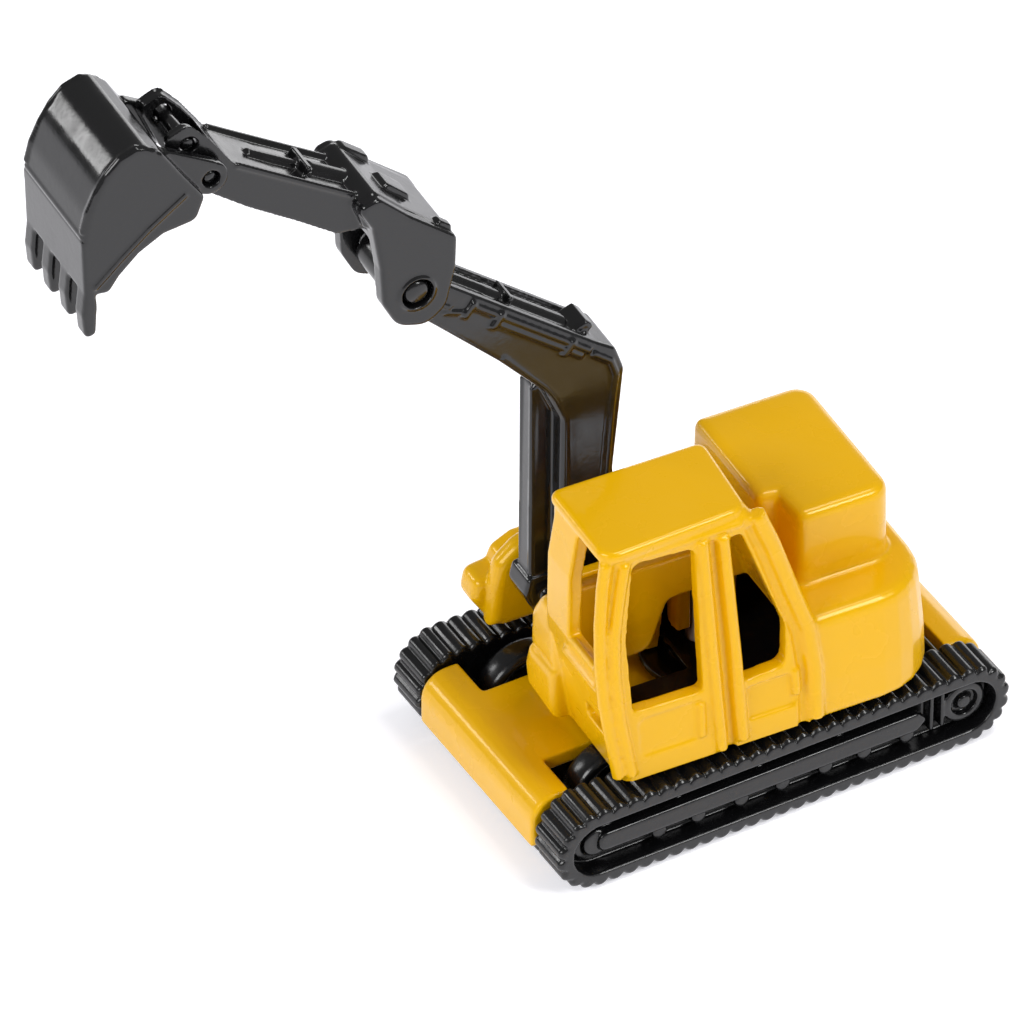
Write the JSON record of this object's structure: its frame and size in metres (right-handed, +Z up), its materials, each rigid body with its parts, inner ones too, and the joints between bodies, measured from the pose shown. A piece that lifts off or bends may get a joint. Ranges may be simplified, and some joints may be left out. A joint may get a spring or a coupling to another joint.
{
  "type": "toy excavator",
  "caption": "Pocket die-cast toy excavator: tracked chassis on hidden rolling wheels, turning cab house, and a hinged boom, stick and toothed bucket.",
  "frame": {"origin": "on the ground under the middle of the rest-pose box, arm included; the house turns about the vertical line 17.3 mm behind it, and stands 3 degrees round from straight ahead at rest", "axes": "+Z up, the nose points along -Y, the bucket 3 degrees off it toward -X, the cab is on the +X side"},
  "size_m": [0.029, 0.0798, 0.0812],
  "materials": {
    "yellow_paint": "gloss enamel on a zinc die-casting",
    "arm_plastic": "semi-gloss black moulded plastic",
    "track_plastic": "satin black moulded plastic",
    "steel": "plain drawn wire"
  },
  "bodies": {
    "undercarriage": {"chassis_plate": "yellow_paint", "base_pan": "track_plastic", "track_left": "track_plastic", "track_right": "track_plastic", "slew_rivet": "steel", "pan_rivet_front": "steel", "pan_rivet_rear": "steel"},
    "front_wheel_set": {"front_axle": "steel", "wheel_front_left": "track_plastic", "wheel_front_right": "track_plastic"},
    "rear_wheel_set": {"rear_axle": "steel", "wheel_rear_left": "track_plastic", "wheel_rear_right": "track_plastic"},
    "house": {"upper_body": "yellow_paint", "house_floor": "arm_plastic", "boom_pin": "steel"},
    "boom_arm": {"boom": "arm_plastic"},
    "stick_arm": {"stick": "arm_plastic", "stick_pin": "arm_plastic", "bucket_pin": "arm_plastic", "link_pin": "arm_plastic"},
    "bucket_scoop": {"bucket": "arm_plastic"}
  },
  "joints": [
    {"name": "front_wheel_roll", "type": "hinge", "parent": "undercarriage", "child": "front_wheel_set", "pos_m": [0, 0.0039, 0.0044], "axis": [1, 0, 0], "continuous": true},
    {"name": "rear_wheel_roll", "type": "hinge", "parent": "undercarriage", "child": "rear_wheel_set", "pos_m": [0, 0.0307, 0.0044], "axis": [1, 0, 0], "continuous": true},
    {"name": "house_slew", "type": "hinge", "parent": "undercarriage", "child": "house", "pos_m": [0, 0.0173, 0.01], "axis": [0, 0, 1], "continuous": true},
    {"name": "boom_lift", "type": "hinge", "parent": "house", "child": "boom_arm", "pos_m": [-0.00629, 0.00802, 0.0146], "axis": [0.9986, -0.0523, 0], "range_deg": [-10, 50]},
    {"name": "stick_swing", "type": "hinge", "parent": "boom_arm", "child": "stick_arm", "pos_m": [-0.00718, -0.00896, 0.0566], "axis": [0.9986, -0.0523, 0], "range_deg": [-10, 100]},
    {"name": "bucket_curl", "type": "hinge", "parent": "stick_arm", "child": "bucket_scoop", "pos_m": [-0.00815, -0.02733, 0.0749], "axis": [0.9986, -0.0523, 0], "range_deg": [-45, 60]}
  ]
}
